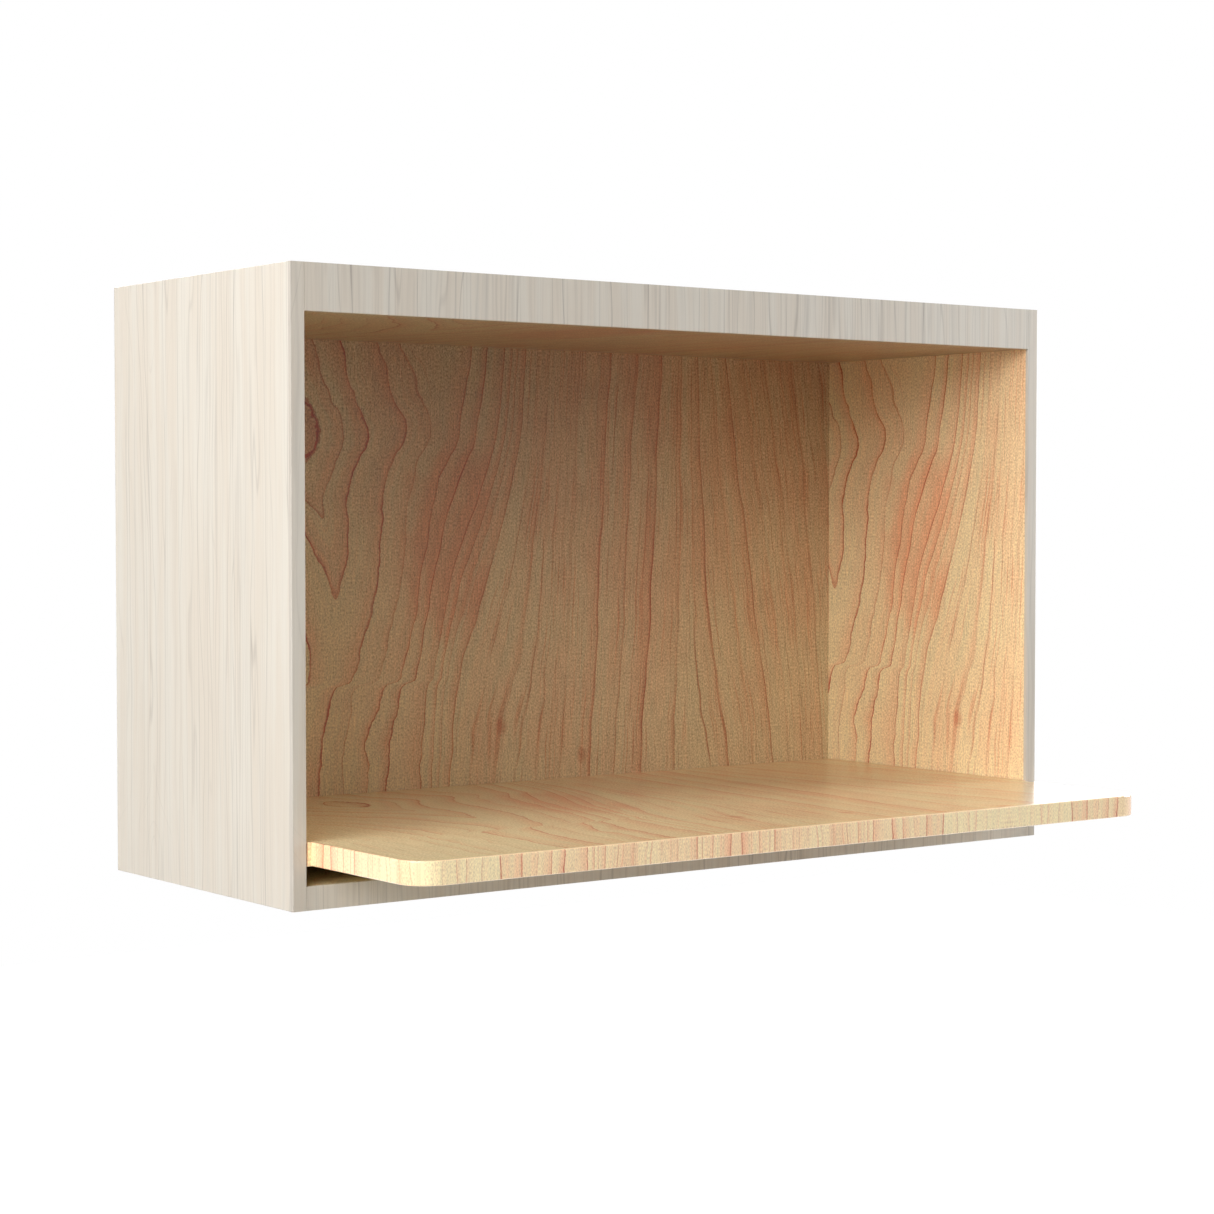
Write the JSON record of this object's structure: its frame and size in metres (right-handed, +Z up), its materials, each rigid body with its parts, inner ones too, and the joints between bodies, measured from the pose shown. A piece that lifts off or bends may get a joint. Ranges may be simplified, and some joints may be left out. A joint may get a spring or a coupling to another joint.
{
  "type": "hanging wall cabinet",
  "caption": "Open-front wall cabinet: a board box with a pale grained finish outside and maple inside, and a low fixed shelf that sticks out in front to carry a microwave oven.",
  "frame": {"origin": "on the back plane, at the centre of the four wall-fixing holes, which is the centre of the box's back", "axes": "+X along the cabinet to the right seen from the front, +Y into the wall, +Z up"},
  "size_m": [0.8256, 0.4572, 0.508],
  "materials": {
    "pale_finish": "satin, limed open grain",
    "maple_interior": "satin clear lacquer",
    "maple_shelf": "gloss clear lacquer",
    "bare_wood": "matt, unfinished",
    "screw_steel": "zinc plated"
  },
  "bodies": {
    "root": {"side_core_left": "maple_interior", "side_core_right": "maple_interior", "side_skin_left": "pale_finish", "side_skin_right": "pale_finish", "top_board": "maple_interior", "bottom_board": "maple_interior", "back_board": "maple_interior", "hanging_rail_top": "bare_wood", "hanging_rail_bottom": "bare_wood", "crown_nailer": "bare_wood", "lipping_left": "pale_finish", "lipping_right": "pale_finish", "lipping_top": "pale_finish", "lipping_bottom": "pale_finish", "shelf_board": "maple_shelf", "shelf_edge_band": "maple_shelf", "shelf_cleat_left": "bare_wood", "shelf_cleat_centre": "bare_wood", "shelf_cleat_right": "bare_wood", "shelf_screws": "screw_steel", "carcass_screws_left": "screw_steel", "carcass_screws_right": "screw_steel", "crown_nailer_screws": "screw_steel"}
  },
  "joints": []
}
